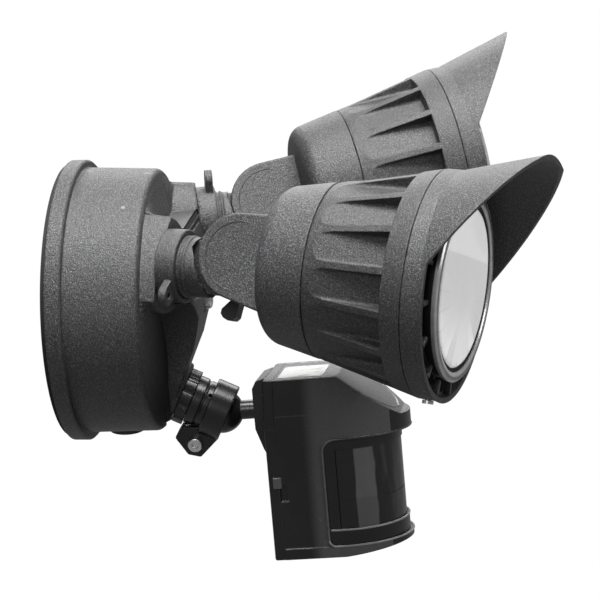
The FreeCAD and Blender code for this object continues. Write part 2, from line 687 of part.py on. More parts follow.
def sensorHousing():
    wall = 2.2
    half = sensorWidth / 2
    windowBack = windowEdge + 2.0
    windowTop = -11.4
    upper = sensorHead(0, windowTop)
    rearBox = block(-half, half, windowBack - 2.0, coverSeam, sensorBottom, windowTop)
    flange = sensorPlan(sensorWidth + 0.8, coverSeam, sensorFront, -56.0, sensorBottom, 5.2)
    chin = Part.Face(Part.makePolygon([
        Vec(-50, -58.0, sensorBottom - 0.01), Vec(-50, sensorFront - 5, sensorBottom + 3.2),
        Vec(-50, sensorFront - 5, sensorBottom - 0.01), Vec(-50, -58.0, sensorBottom - 0.01)])).extrude(Vec(100, 0, 0))
    outer = upper.fuse(rearBox).fuse(flange.cut(chin))
    # round inside corner of the lens window, seen on each side wall
    cornerRadius = 6.0
    for side in (-1, 1):
        x0 = min(side * half, side * (half - 0.7))
        corner = block(x0, x0 + 0.7, windowBack - 2.0 - cornerRadius, windowBack - 2.0, windowTop - cornerRadius,
                       windowTop)
        round_ = rodAlongX(cornerRadius, x0 - 1, x0 + 2, windowBack - 2.0 - cornerRadius, windowTop - cornerRadius)
        outer = outer.fuse(corner.cut(round_))
    outer = outer.removeSplitter()
    upperInside = sensorHead(wall, windowTop + wall)
    lowerInside = block(-half + wall, half - wall, windowBack, coverSeam + 1, sensorBottom + wall, windowTop + wall + 0.1)
    flangeInside = sensorPlan(sensorWidth - 2 * wall, coverSeam - 4.0, sensorFront + 6.0, -56.0, sensorBottom + wall, 1.6)
    openBack = upperInside.common(block(-half, half, coverSeam - 6, coverSeam, -20, 30))
    outer = outer.cut(upperInside).cut(openBack.translated(Vec(0, 4, 0))).cut(lowerInside).cut(flangeInside)
    opening = block(-windowHalf + 4, windowHalf - 4, windowBack - 3, windowBack + 1, lensBottom + 2, lensTop - 2)
    outer = outer.cut(opening)
    for x in dialPlaces:
        outer = outer.cut(disc(4.6, sensorBottom - 1, sensorBottom + 1.4, x, dialY))
        outer = outer.cut(disc(2.2, sensorBottom - 1, sensorBottom + 6, x, dialY))
    # snap latches that hold the rear cover
    for side in (-1, 1):
        x = side * half
        outer = outer.cut(block(x - 1.3, x + 1.3, coverSeam - 3.6, coverSeam + 1, -39.5, -31.5))
    return outer.removeSplitter()


def lensFrame():
    """Band under and over the lens, which hooks into the housing."""
    edge = windowEdge - 0.3
    lensEdge = -57.2
    base = sensorBottom + 5.4
    low = sensorPlan(2 * windowHalf + 2.4, -48.0, sensorFront + 1.6, -58.0, base, lensBottom + 2.1 - base)
    inner = sensorPlan(2 * windowHalf - 5.0, -40.0, sensorFront + 5.2, -58.0, base - 1, 9.5)
    high = sensorPlan(2 * windowHalf + 1.6, -48.0, sensorFront + 2.2, -58.0, lensTop - 2.6, 4.9)
    body = low.fuse(high).cut(inner.fuse(inner.translated(Vec(0, 0, 43))))
    for side in (-1, 1):
        x0 = min(side * (windowHalf + 1.2), side * (windowHalf - 2.2))
        body = body.fuse(block(x0, x0 + 3.4, lensEdge + 1.0, edge, base, lensTop + 2.3))
    return body.common(block(-50, 50, -100, edge, -90, 0)).removeSplitter()


def fresnelLens():
    outer = sensorPlan(2 * windowHalf, -40.0, sensorFront + 2.8, -58.0, lensBottom + 2.2, lensTop - 2.7 - lensBottom - 2.2)
    inner = sensorPlan(2 * windowHalf - 2.4, -30.0, sensorFront + 4.0, -58.0, lensBottom, 60.0)
    lens = outer.cut(inner).common(block(-50, 50, -100, -56.4, -90, 0))
    seam = sensorPlan(2 * windowHalf + 1, -30.0, sensorFront + 2.6, -58.0, -41.2, 0.5)
    seam = seam.cut(sensorPlan(2 * windowHalf - 0.6, -30.0, sensorFront + 3.1, -58.0, -42.0, 2.0))
    return lens.cut(seam)


def rearCover():
    """Back of the sensor: a shallow pan with the raised seat of the stem."""
    half = sensorWidth / 2
    topHalf = sensorTopWidth / 2
    depth = sensorBack - coverSeam - 0.1
    section = Part.Face(Part.makePolygon([
        Vec(-half, sensorBack, sensorBottom), Vec(half, sensorBack, sensorBottom), Vec(half, sensorBack, -5.0),
        Vec(topHalf, sensorBack, sensorTop), Vec(-topHalf, sensorBack, sensorTop), Vec(-half, sensorBack, -5.0),
        Vec(-half, sensorBack, sensorBottom)]))
    pan = section.extrude(Vec(0, -depth, 0))
    pan = softened(pan, 1.2, lambda e: e.BoundBox.YMin > sensorBack - 0.01)
    seatBack = sensorBack + 6.2
    seatHalf = 15.5
    profile = Part.Face(Part.makePolygon([
        Vec(-seatHalf, sensorBack - 0.2, sensorTop), Vec(-seatHalf, seatBack - 2.0, sensorTop - 1.4),
        Vec(-seatHalf, seatBack, sensorTop - 5.0), Vec(-seatHalf, seatBack, -7.0),
        Vec(-seatHalf, seatBack - 3.2, -16.5), Vec(-seatHalf, sensorBack - 0.2, -23.5),
        Vec(-seatHalf, sensorBack - 0.2, sensorTop)]))
    seat = profile.extrude(Vec(2 * seatHalf, 0, 0))
    body = pan.fuse(seat).removeSplitter()
    hollow = block(-half + 2.2, half - 2.2, sensorBack - depth - 1, sensorBack - 2.2, sensorBottom + 2.2, -6.0)
    hollow = hollow.fuse(block(-topHalf + 2.2, topHalf - 2.2, sensorBack - depth - 1, sensorBack - 2.2, -7.0,
                               sensorTop - 2.2))
    body = body.cut(hollow)
    pocket = Part.makeCylinder(8.0, 2.6, Vec(0, sensorBack - 0.7, 0), Vec(0, -1, 0))
    throat = Part.makeCylinder(stemRadius + 0.4 + fitGap, 40, Vec(0, 10, 0), Vec(0, -1, 0))
    thick = Part.makeCylinder(11.0, 5.6, Vec(0, sensorBack + 2.0, 0), Vec(0, -1, 0))
    body = body.fuse(thick).cut(pocket).cut(throat)
    keeperSeat = Part.makeCylinder(8.0, 10, Vec(0, sensorBack - 1.0, 0), Vec(0, -1, 0))
    body = body.cut(keeperSeat)
    for x in (-16.0, 16.0):
        for z in (-54.0, 3.0):
            peg = Part.makeCylinder(2.2, 11.0, Vec(x, sensorBack - 1.2, z), Vec(0, -1, 0))
            body = body.fuse(peg)
    return body.removeSplitter()


def stemKeeper():
    """Spring clip disc that keeps the stem flange in its pocket."""
    return Part.makeCylinder(7.9, 1.0, Vec(0, sensorBack - 3.1, 0), Vec(0, -1, 0)).cut(
        Part.makeCylinder(2.6, 9, Vec(0, sensorBack, 0), Vec(0, -1, 0)))


def sensorBoard():
    board = block(-22.0, 22.0, -38.0, -36.5, sensorBottom + 5.0, sensorTop - 9.5)
    relay = block(-16.0, -4.0, -50.0, -38.0, -6.0, 6.0)
    capacitor = Part.makeCylinder(4.5, 11.0, Vec(12, -38.0, 0), Vec(0, -1, 0))
    neck = block(-6.0, 6.0, -53.0, -38.0, -44.0, -32.0)
    board = board.fuse(relay).fuse(capacitor).fuse(neck)
    for x in dialPlaces:
        board = board.cut(disc(2.4, -90, -60, x, dialY))
    return board.removeSplitter()


def motionDetector():
    """Round can of the infrared detector behind the lens."""
    can = Part.makeCylinder(4.6, 4.0, Vec(0, -53.0, -38.0), Vec(0, -1, 0))
    return can.cut(block(-2.2, 2.2, -58.0, -56.6, -40.0, -36.0))


def controlDial(x):
    """Small adjuster under the sensor, slotted for a screwdriver."""
    knob = disc(4.0, sensorBottom - 0.6, sensorBottom + 1.1, x, dialY)
    shaft = disc(2.15, sensorBottom + 1.1, sensorBottom + 3.6, x, dialY)
    slot = block(x - 3.4, x + 3.4, dialY - 0.5, dialY + 0.5, sensorBottom - 1, sensorBottom + 0.3)
    return knob.fuse(shaft).cut(slot)


# ---------------------------------------------------------------- what the canopy holds
def ledDriver():
    """Potted power supply, stuck to the back of the two arm bosses."""
    seat = -canopyDepth + 8
    case = block(-23.0, 23.0, seat, seat + 22.0, 14.0, 48.0)
    return softened(case, 2.0, lambda e: e.BoundBox.YLength > 20)


def wireNuts():
    """Twist-on connectors of the supply wires, tips against the front of the canopy."""
    nutLength = 16.0
    nutBase = -canopyDepth + canopyWall + nutLength
    nuts = []
    for x, z in ((-32.0, -18.0), (32.0, -18.0), (-45.0, -2.0)):
        nut = Part.makeCone(5.4, 3.2, nutLength, Vec(x, nutBase, z), Vec(0, -1, 0))
        nuts.append(nut.cut(Part.makeCone(3.8, 1.6, nutLength - 4, Vec(x, nutBase, z), Vec(0, -1, 0))))
    return Part.makeCompound(nuts)


# ---------------------------------------------------------------- assembly
def buildAll():
    parts = {}
    parts["wall_gasket"] = wallGasket()
    parts["canopy_housing"] = canopyHousing()
    parts["mounting_strap"] = mountingStrap()
    parts["centre_screw"] = centreScrew()
    parts["closure_plug"] = closurePlug()
    parts["led_driver"] = ledDriver()
    parts["wire_nuts"] = wireNuts()
    for side, name, swivel, tilt in ((-1, "near", nearSwivel, nearTilt), (1, "far", farSwivel, farTilt)):
        origin = armOrigin(side)
        parts["lock_ring_" + name] = placed(lockRing(side), origin, armFrame(side, 0))
        arm = armFrame(side, swivel)
        parts["swivel_stem_" + name] = placed(swivelStem(side), origin, arm)
        parts["stem_seal_" + name] = placed(stemSeal(), origin, arm)
        head = headFrame(side, swivel, tilt)
        pivot = pivotPoint(side)
        makers = (("rear_cap", rearCap), ("heat_sink", heatSink), ("hood", hoodShade), ("lens_ring", lensRing),
                  ("lens_gasket", lensGasket), ("front_lens", frontLens), ("reflector", reflector),
                  ("led_board", ledBoard), ("bezel_screw", bezelScrew), ("pivot_bolt", pivotBolt),
                  ("pivot_washer", washer), ("wing_knob", wingKnob))
        for piece, make in makers:
            rise = 0 if make in (pivotBolt, washer, wingKnob) else headOffset
            parts[piece + "_" + name] = placed(make(), pivot + head.multVec(Vec(0, rise, 0)), head)
    socket = socketFrame()
    for piece, make in (("sensor_lock_nut", lockNut), ("sensor_socket", socketTube), ("clamp_ring", clampRing),
                        ("clamp_screw", clampScrew), ("clamp_nut", clampNut)):
        parts[piece] = placed(make(), socketOrigin(), socket)
    sensor = sensorFrame()
    for piece, make in (("ball_stem", ballStem), ("sensor_housing", sensorHousing), ("lens_frame", lensFrame),
                        ("fresnel_lens", fresnelLens), ("rear_cover", rearCover), ("stem_keeper", stemKeeper),
                        ("sensor_board", sensorBoard), ("motion_detector", motionDetector)):
        parts[piece] = placed(make(), ballPoint(), sensor)
    for name, x in zip(("time", "range", "light"), dialPlaces):
        parts["dial_" + name] = placed(controlDial(x), ballPoint(), sensor)
    return parts


os.makedirs("parts", exist_ok=True)
for nodeName, nodeShape in buildAll().items():
    nodeShape.exportStep("parts/" + nodeName + ".step")
    print(nodeName, len(nodeShape.Solids), nodeShape.isValid(), round(nodeShape.Volume / 1000, 2))
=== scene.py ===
import bmesh
import bpy
import json
import math
from mathutils import Matrix, Vector


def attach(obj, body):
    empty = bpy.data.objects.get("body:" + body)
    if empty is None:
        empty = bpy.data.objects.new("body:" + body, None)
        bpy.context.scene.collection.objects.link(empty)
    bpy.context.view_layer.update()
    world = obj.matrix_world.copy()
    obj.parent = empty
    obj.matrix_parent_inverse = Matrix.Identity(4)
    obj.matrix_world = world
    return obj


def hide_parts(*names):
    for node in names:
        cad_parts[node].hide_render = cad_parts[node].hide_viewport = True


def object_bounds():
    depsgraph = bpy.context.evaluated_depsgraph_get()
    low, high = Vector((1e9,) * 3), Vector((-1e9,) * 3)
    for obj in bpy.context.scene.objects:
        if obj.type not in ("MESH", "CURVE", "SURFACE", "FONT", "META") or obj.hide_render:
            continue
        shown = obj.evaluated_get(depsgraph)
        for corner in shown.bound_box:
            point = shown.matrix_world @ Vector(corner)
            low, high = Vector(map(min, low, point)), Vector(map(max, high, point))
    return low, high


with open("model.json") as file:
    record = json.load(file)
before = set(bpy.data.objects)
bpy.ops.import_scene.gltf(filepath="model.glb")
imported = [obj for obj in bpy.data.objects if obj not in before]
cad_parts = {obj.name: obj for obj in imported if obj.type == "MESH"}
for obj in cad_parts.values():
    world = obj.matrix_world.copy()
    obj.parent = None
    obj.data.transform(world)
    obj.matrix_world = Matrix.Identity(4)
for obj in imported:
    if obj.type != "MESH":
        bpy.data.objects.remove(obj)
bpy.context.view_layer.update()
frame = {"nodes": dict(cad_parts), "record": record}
nodes = frame["nodes"]
joints = {joint["name"]: joint for joint in frame["record"]["behaviour"]["joints"]}
sides = ("near", "far")
mm = 0.001


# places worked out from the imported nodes, in metres
def middle(name):
    points = {tuple(round(c, 5) for c in v.co) for v in nodes[name].data.vertices}
    return sum((Vector(p) for p in points), Vector()) / len(points)


def jointPlace(name):
    return Vector(joints[name]["pos_m"])


axisRise = 0.0048  # of a head's own axis above its tilt bolt


def headFrame(side):
    # the head's own axis, its across and up directions, and a point of the axis at its tilt bolt
    ahead = (middle("front_lens_" + side) - middle("led_board_" + side)).normalized()
    across = Vector(joints["head_tilt_" + side]["axis"]) * -1
    upward = ahead.cross(across)
    return {"ahead": ahead, "across": across, "upward": upward,
            "foot": jointPlace("head_tilt_" + side) + upward * axisRise}


heads = {side: headFrame(side) for side in sides}
sensorLean = {"roll": 9.0, "pitch": -3.6}  # of the sensor at rest, in degrees
sensorTurn = (Matrix.Rotation(math.radians(sensorLean["roll"]), 3, "Y")
              @ Matrix.Rotation(math.radians(sensorLean["pitch"]), 3, "X"))
sensorPlace = jointPlace("sensor_spin")


def onSensor(point):
    # a point of the sensor's own frame, given in mm from its ball
    return sensorPlace + sensorTurn @ Vector(point) * mm


print("heads and sensor placed")


# shader maths: a wire holds one socket, and sums or products of wires add their own nodes
class Wire:
    def __init__(self, tree, socket=None):
        self.tree = tree
        self.socket = socket

    def add(self, kind, settings=None, sockets=None, out=0):
        node = self.tree.nodes.new(kind)
        for key, value in (settings or {}).items():
            if key == "stops":  # positions and grey tones of a colour ramp
                ramp = node.color_ramp
                while len(ramp.elements) < len(value):
                    ramp.elements.new(0.5)
                for element, (position, tone) in zip(ramp.elements, value):
                    element.position = position
                    element.color = (tone, tone, tone, 1)
            else:
                setattr(node, key, value)
        for key, value in (sockets or {}).items():
            if isinstance(value, Wire):
                self.tree.links.new(value.socket, node.inputs[key])
            else:
                node.inputs[key].default_value = value
        return Wire(self.tree, node.outputs[out] if len(node.outputs) else None)

    def calc(self, operation, first, second=0.0):
        if any(isinstance(w, Wire) and w.socket.type != "VALUE" for w in (first, second)):
            pair = [w if isinstance(w, Wire) else (w, w, w) for w in (first, second)]
            return self.add("ShaderNodeVectorMath", {"operation": operation}, {0: pair[0], 1: pair[1]})
        return self.add("ShaderNodeMath", {"operation": operation}, {0: first, 1: second})

    def __add__(self, other):
        return self.calc("ADD", self, other)

    def __radd__(self, other):
        return self.calc("ADD", other, self)

    def __sub__(self, other):
        return self.calc("SUBTRACT", self, other)

    def __rsub__(self, other):
        return self.calc("SUBTRACT", other, self)

    def __mul__(self, other):
        return self.calc("MULTIPLY", self, other)

    def __rmul__(self, other):
        return self.calc("MULTIPLY", other, self)

    def above(self, level):
        return self.calc("GREATER_THAN", self, level)

    def between(self, low, high):  # 0 at low, 1 at high, smooth in the middle
        return self.add("ShaderNodeMapRange", {"interpolation_type": "SMOOTHSTEP"},
                        {"Value": self, "From Min": low, "From Max": high})

    def ramp(self, stops):
        return self.add("ShaderNodeValToRGB", {"stops": stops}, {"Fac": self})

    def red(self):
        return self.add("ShaderNodeSeparateColor", None, {"Color": self})

    def along(self, direction):  # how far this vector reaches along a wire or a fixed direction
        other = direction if isinstance(direction, Wire) else tuple(direction)
        return self.add("ShaderNodeVectorMath", {"operation": "DOT_PRODUCT"}, {0: self, 1: other}, out=1)

    def times(self, direction):  # a fixed vector scaled by this wire
        return self.add("ShaderNodeVectorMath", {"operation": "SCALE"}, {0: tuple(direction), "Scale": self})


def newMaterial(name, build, fixed):
    # build(start) gives the wires that change over the surface, fixed gives the rest
    material = bpy.data.materials.new(name)
    material.use_nodes = True
    material.node_tree.nodes.clear()
    start = Wire(material.node_tree)
    surface = start.add("ShaderNodeBsdfPrincipled", None, {**fixed, **build(start)})
    start.add("ShaderNodeOutputMaterial", None, {"Surface": surface})
    return material


def paint(start, tone, blue=1.0, red=1.0):
    return start.add("ShaderNodeCombineColor", None, {"Red": tone * red, "Green": tone, "Blue": tone * blue})


def place(start):
    # the point in its object's own coordinates, in metres
    return start.add("ShaderNodeTexCoord", None, None, out=3)


def trueNormal(start):
    return start.add("ShaderNodeNewGeometry", None, None, out=1)


def noise(start, size, detail=2.0, rough=0.5, stretch=None):
    where = place(start)
    if stretch:
        where = start.add("ShaderNodeMapping", None, {"Vector": where, "Scale": stretch})
    return start.add("ShaderNodeTexNoise", None,
                     {"Vector": where, "Scale": 1 / size, "Detail": detail, "Roughness": rough})


def flecks(start, size, share):
    # small round spots, one in each cell of this size, kept in this share of the cells
    cell = {"Vector": place(start), "Scale": 1 / size}
    nearest = start.add("ShaderNodeTexVoronoi", None, cell)
    pick = start.add("ShaderNodeTexVoronoi", None, cell, out=1).red()
    return (1 - nearest.between(0.08, 0.22)) * (1 - pick.above(share))


def bumped(start, height, strength, distance, under=None):
    sockets = {"Height": height, "Strength": strength, "Distance": distance}
    if under:
        sockets["Normal"] = under
    return start.add("ShaderNodeBump", None, sockets)


def roundedEdge(start, radius):
    return start.add("ShaderNodeBevel", {"samples": 4}, {"Radius": radius})


def edgeMask(start, radius):
    # how far the rounded normal leans away from the true one
    return 1 - roundedEdge(start, radius).along(trueNormal(start))


# finishes: sizes in metres, tones from 0 black to 1 white
# a pair named From says where a mask begins and where it is full
powder = {"tone": 0.066, "dark": 0.22, "speck": 1.65, "speckFrom": (0.44, 0.72), "grain": 0.00064,
          "cloud": 0.030, "peel": 0.0022, "depth": 0.00034, "roughness": 0.43, "edge": 0.0010,
          "paleEdgeRadius": 0.0009, "paleEdgeFrom": (0.10, 0.42), "wornPatch": 0.004, "patchFrom": (0.42, 0.62),
          "paleEdgeTone": 0.14, "chipSize": 0.0065, "chips": 0.010, "chipTone": 0.16, "scratch": 0.004,
          "stretch": (1.0, 0.22, 1.0), "scratchFrom": (0.735, 0.76), "scratchTone": 0.06}


def powderCoat(start, share=1.0):
    grain = noise(start, powder["grain"], 3.0, 0.65)
    cloud = noise(start, powder["cloud"], 3.0)
    peel = noise(start, powder["peel"])
    onEdge = edgeMask(start, powder["paleEdgeRadius"]).between(*powder["paleEdgeFrom"])
    patchy = noise(start, powder["wornPatch"], 3.0).between(*powder["patchFrom"])
    speck = grain.between(*powder["speckFrom"])
    chip = flecks(start, powder["chipSize"], powder["chips"])
    scratch = noise(start, powder["scratch"], 2.0, 0.5, powder["stretch"]).between(*powder["scratchFrom"])
    tone = powder["tone"] * share * (powder["dark"] + powder["speck"] * speck) * (0.80 + 0.40 * cloud)
    # pale edges where the coat is worn through, in patches
    tone = tone + onEdge * patchy * powder["paleEdgeTone"]
    tone = tone + chip * powder["chipTone"] + scratch * powder["scratchTone"]
    normal = bumped(start, grain + peel * 0.7, 0.90, powder["depth"], roundedEdge(start, powder["edge"]))
    return {"Base Color": paint(start, tone, 1.03), "Normal": normal,
            "Roughness": powder["roughness"] + 0.10 * grain - 0.08 * onEdge}


def powderOf(share):
    # the same coat, lighter or darker by this share
    return lambda start: powderCoat(start, share)


glossy = {"tone": 0.012, "roughness": 0.22, "cloud": 0.012, "ripple": 0.006, "depth": 0.0004, "edge": 0.0007,
          "paleEdgeRadius": 0.0006, "paleEdgeFrom": (0.12, 0.5), "paleEdgeTone": 0.05, "dustSize": 0.0050, "dust": 0.03,
          "dustTone": 0.08}


# the tone added all over is painted light, on the sensor moulding and its trims
def glossBlack(start, leaning=None, paleEdgeTone=glossy["paleEdgeTone"], paintedLight=0.0):
    cloud = noise(start, glossy["cloud"], 3.0)
    dust = flecks(start, glossy["dustSize"], glossy["dust"])
    # pale edges: wear on the plain gloss parts, a painted highlight on the sensor moulding, its beads and
    # latches
    onEdge = edgeMask(start, glossy["paleEdgeRadius"]).between(*glossy["paleEdgeFrom"])
    tone = glossy["tone"] * (0.8 + 0.4 * cloud) + dust * glossy["dustTone"] + onEdge * paleEdgeTone + paintedLight
    under = leaning or roundedEdge(start, glossy["edge"])
    normal = bumped(start, noise(start, glossy["ripple"]), 0.10, glossy["depth"], under)
    return {"Base Color": paint(start, tone, 1.02), "Roughness": glossy["roughness"] + 0.10 * cloud,
            "Normal": normal}


def glossOf(paleEdgeTone, paintedLight):
    return lambda start: glossBlack(start, None, paleEdgeTone, paintedLight)


# painted light on the sensor moulding: lighter ahead of its fold and on faces turned up to the roof, and a
# painted highlight on its edges
moulded = {"edge": 0.0009, "foldBack": -0.041, "foldFront": -0.049, "foldTurn": 0.30, "foldPaintedLight": 0.085,
           "side": 0.7, "roof": 0.08, "roofFrom": (0.45, 0.95), "roofPaintedLight": 0.110, "paleEdgeTone": 0.20}


def sensorBlack(start):
    # the moulding's side is one plane up to the roof, and turns towards the lens in front of its fold
    across, back, upward = [sensorTurn @ Vector(axis) for axis in ((1, 0, 0), (0, 1, 0), (0, 0, 1))]
    local = {"vector_type": "NORMAL", "convert_from": "WORLD", "convert_to": "OBJECT"}
    true = start.add("ShaderNodeVectorTransform", local, {0: trueNormal(start)})
    soft = start.add("ShaderNodeVectorTransform", local, {0: roundedEdge(start, moulded["edge"])})
    onSide = start.calc("ABSOLUTE", true.along(across)).above(moulded["side"])
    depth = place(start).along(back) - sensorPlace.dot(back)
    fold = (1 - depth.between(moulded["foldFront"], moulded["foldBack"])) * onSide
    underRoof = onSide * true.along(upward).above(moulded["roof"])
    leaning = soft - (soft.along(upward) * underRoof).times(upward) - (fold * moulded["foldTurn"]).times(back)
    world = start.add("ShaderNodeVectorTransform", {"vector_type": "NORMAL", "convert_from": "OBJECT",
                                                    "convert_to": "WORLD"}, {0: leaning})
    leaned = start.add("ShaderNodeVectorMath", {"operation": "NORMALIZE"}, {0: world})
    roofward = true.along(upward).between(*moulded["roofFrom"])
    # painted light: lighter on the side ahead of the fold and on faces turned up to the roof
    paintedLight = fold * moulded["foldPaintedLight"] + roofward * moulded["roofPaintedLight"]
    return glossBlack(start, leaned, moulded["paleEdgeTone"], paintedLight)


# a plain finish has one grain, and its tone and roughness run from the first number up by the second
plain = {
    "matteBlack": {"grain": 0.0008, "tone": (0.022, 0.018), "roughness": (0.42, 0.15), "bump": 0.4,
                   "edge": 0.0005},
    "blackRubber": {"grain": 0.0006, "tone": (0.014, 0.012), "roughness": (0.70, 0.20), "bump": 0.3},
    "mirrorFacets": {"grain": 0.006, "tone": (0.82, 0.12), "roughness": (0.16, 0.10)},
    "boardPale": {"grain": 0.003, "tone": (0.62, 0.14), "roughness": (0.35, 0.20), "blue": 0.92, "red": 0.94},
    "caseWhite": {"grain": 0.002, "tone": (0.66, 0.08), "roughness": (0.40, 0.10), "blue": 0.97},
}


def plainFinish(look):
    def build(start):
        grain = noise(start, look["grain"])
        tone = look["tone"][0] + look["tone"][1] * grain
        wires = {"Base Color": paint(start, tone, look.get("blue", 1.0), look.get("red", 1.0)),
                 "Roughness": look["roughness"][0] + look["roughness"][1] * grain}
        if "bump" in look:
            under = roundedEdge(start, look["edge"]) if "edge" in look else None
            wires["Normal"] = bumped(start, grain, look["bump"], 0.0001, under)
        return wires
    return build


nut = {"grain": 0.002, "green": 0.33, "blue": 0.03}


def nutOrange(start):
    grain = noise(start, nut["grain"])
    tone = 0.75 + 0.15 * grain
    shares = {"Red": tone, "Green": tone * nut["green"], "Blue": nut["blue"]}
    return {"Base Color": start.add("ShaderNodeCombineColor", None, shares), "Roughness": 0.35 + 0.1 * grain}


steel = {"streak": 0.0016, "stretch": (1.0, 8.0, 1.0), "stain": 0.004, "stainFrom": (0.5, 0.75),
         "edge": 0.0003}


def platedSteel(start):
    streak = noise(start, steel["streak"], 3.0, 0.6, steel["stretch"])
    stain = noise(start, steel["stain"], 3.0).between(*steel["stainFrom"])
    tone = 0.62 + 0.16 * streak - 0.22 * stain
    normal = bumped(start, streak, 0.15, 0.0001, roundedEdge(start, steel["edge"]))
    return {"Base Color": paint(start, tone, 0.985), "Roughness": 0.20 + 0.18 * streak, "Normal": normal}


zinc = {"spangle": 240.0}  # crystals to the metre


def galvanised(start):
    cell = {"Vector": place(start), "Scale": zinc["spangle"]}
    pick = start.add("ShaderNodeTexVoronoi", None, cell, out=1).red()
    tone = 0.42 + 0.18 * pick
    return {"Base Color": paint(start, tone, 1.02), "Roughness": 0.36 + 0.14 * pick}


def headPlace(start, side):
    # across, upward, ahead and radius, in metres, about the head's own axis
    head = heads[side]
    spot = place(start)
    parts = [spot.along(head[way]) - head["foot"].dot(head[way]) for way in ("across", "upward", "ahead")]
    radius = start.calc("SQRT", parts[0] * parts[0] + parts[1] * parts[1])
    return parts + [radius]


# inner edge and width in mm, and bands of painted highlight and darker tone by their place in shares of that
# width
rim = {"inner": 36.0, "width": 6.0, "streak": 0.006, "ripple": 0.002, "edge": 0.0005, "gap": (0.1016, 0.1024),
       "bands": [(0.14, 0.55), (0.26, 0.90), (0.42, 0.80), (0.52, 0.16), (0.70, 0.22), (0.80, 0.60),
                 (0.90, 0.42)]}


def brightRim(side):
    # moulded rim of the lens: bright bands in front that paint highlights along it, and painted shade in the
    # gap behind its flange
    def build(start):
        across, upward, ahead, radius = headPlace(start, side)
        streak = noise(start, rim["streak"], 3.0)
        bands = (radius * 1000 - rim["inner"]) * (1 / rim["width"])
        shaded = 1 - ahead.between(*rim["gap"])
        tone = bands.ramp(rim["bands"]).red() * (0.55 + 0.75 * streak) * (1 - shaded * 0.93)
        normal = bumped(start, noise(start, rim["ripple"]), 0.2, 0.0003, roundedEdge(start, rim["edge"]))
        return {"Base Color": paint(start, tone, 1.02), "Roughness": 0.14 + 0.14 * streak + 0.4 * shaded,
                "Normal": normal}
    return build


# painted reflection of the bright cup behind the lens: base, wedge, cap, lower, edge and rim tones, and a
# painted glow
cup = {"facets": 22, "rise": 0.004, "outerFrom": (0.006, 0.030), "tone": 0.82, "glow": 0.46, "haze": 0.024,
       "facetTone": 0.34, "edgeFrom": (0.44, 0.50), "edgeTone": (0.04, 0.24), "capFrom": (0.0125, 0.0140),
       "capTone": 0.15, "lowTo": (-0.030, -0.004), "lowTone": 0.17, "rimFrom": (0.0325, 0.0345),
       "rimTone": 0.12}


def cupReflectionLens(side):
    # clear lens over a faceted bright cup, painted as its reflection: wedges of slightly different tone, a
    # brighter cap above and below, darker wedge edges and rim
    def build(start):
        across, upward, ahead, radius = headPlace(start, side)
        facetsPerTurn = cup["facets"] / (2 * math.pi)
        turn = start.calc("ARCTAN2", upward + cup["rise"], across) * facetsPerTurn + 40.0  # kept above zero
        wedge = start.calc("FLOOR", turn)
        chance = start.add("ShaderNodeTexWhiteNoise", {"noise_dimensions": "1D"}, {"W": wedge})
        edge = start.calc("ABSOLUTE", start.calc("FRACT", turn) - 0.5).between(*cup["edgeFrom"])
        outward = radius.between(*cup["outerFrom"])
        haze = noise(start, cup["haze"], 3.0)
        low = 1 - upward.between(*cup["lowTo"])
        tone = cup["tone"] * (0.80 + 0.16 * haze) + (chance - 0.5) * outward * cup["facetTone"] * low
        tone = tone + upward.between(*cup["capFrom"]) * cup["capTone"] + low * cup["lowTone"]
        tone = tone - edge * outward * (cup["edgeTone"][0] + cup["edgeTone"][1] * low)
        tone = tone - radius.between(*cup["rimFrom"]) * cup["rimTone"]
        return {"Base Color": paint(start, tone, 1.01), "Roughness": 0.12 + 0.10 * haze,
                "Emission Color": paint(start, tone * cup["glow"], 1.01),
                "Normal": bumped(start, haze, 0.15, 0.0006)}
    return build


# places in mm from the sensor's ball: the band and its sway, the stripes ahead of it, the lens's lower step
smoked = {"dark": 0.016, "bandTone": 0.120, "stripeTone": 0.030, "bandFront": (-74.2, -73.2),
          "bandBack": (-65.0, -64.2), "stripes": (-78.0, -75.0), "step": (-41.6, -41.0), "sway": 3.0,
          "wander": 0.012, "ripple": 0.0034, "rippleFrom": (0.46, 0.66), "lowShare": 0.22}


def smokedLens(start):
    # pale upright band where the curved lens catches the light, with fainter stripes ahead of it
    back = sensorTurn @ Vector((0, 1, 0))
    upward = sensorTurn @ Vector((0, 0, 1))
    wander = noise(start, smoked["wander"], 2.0, 0.5, (1.0, 1.0, 0.6))
    ripple = noise(start, smoked["ripple"], 2.0, 0.5, (1.0, 1.0, 0.10))
    depth = (place(start).along(back) - sensorPlace.dot(back)) * 1000 + (wander - 0.5) * smoked["sway"]
    height = (place(start).along(upward) - sensorPlace.dot(upward)) * 1000
    band = depth.between(*smoked["bandFront"]) * (1 - depth.between(*smoked["bandBack"]))
    stripe = ripple.between(*smoked["rippleFrom"]) * (1 - depth.between(*smoked["stripes"]))
    below = 1 - height.between(*smoked["step"])
    bandTone = band * smoked["bandTone"] * (0.85 + 0.3 * ripple) * (1 - smoked["lowShare"] * below)
    tone = smoked["dark"] + bandTone + stripe * smoked["stripeTone"]
    return {"Base Color": paint(start, tone, 1.03), "Roughness": 0.15 + 0.12 * ripple,
            "Normal": bumped(start, ripple, 0.10, 0.0005)}


film = {"tone": 0.40, "grain": 0.0007, "smudge": 0.006, "smudgeFrom": (0.45, 0.75), "smudgeTone": 0.14,
        "roughness": 0.50}


def paleLabel(start):
    # bare label film, a little yellowed and scuffed
    grain = noise(start, film["grain"])
    smudge = noise(start, film["smudge"], 3.0).between(*film["smudgeFrom"])
    tone = film["tone"] + 0.05 * grain - film["smudgeTone"] * smudge
    return {"Base Color": paint(start, tone, 0.985), "Roughness": film["roughness"] + 0.2 * smudge,
            "Normal": bumped(start, grain, 0.15, 0.0001)}


def specular(level):
    return {"Specular IOR Level": level}


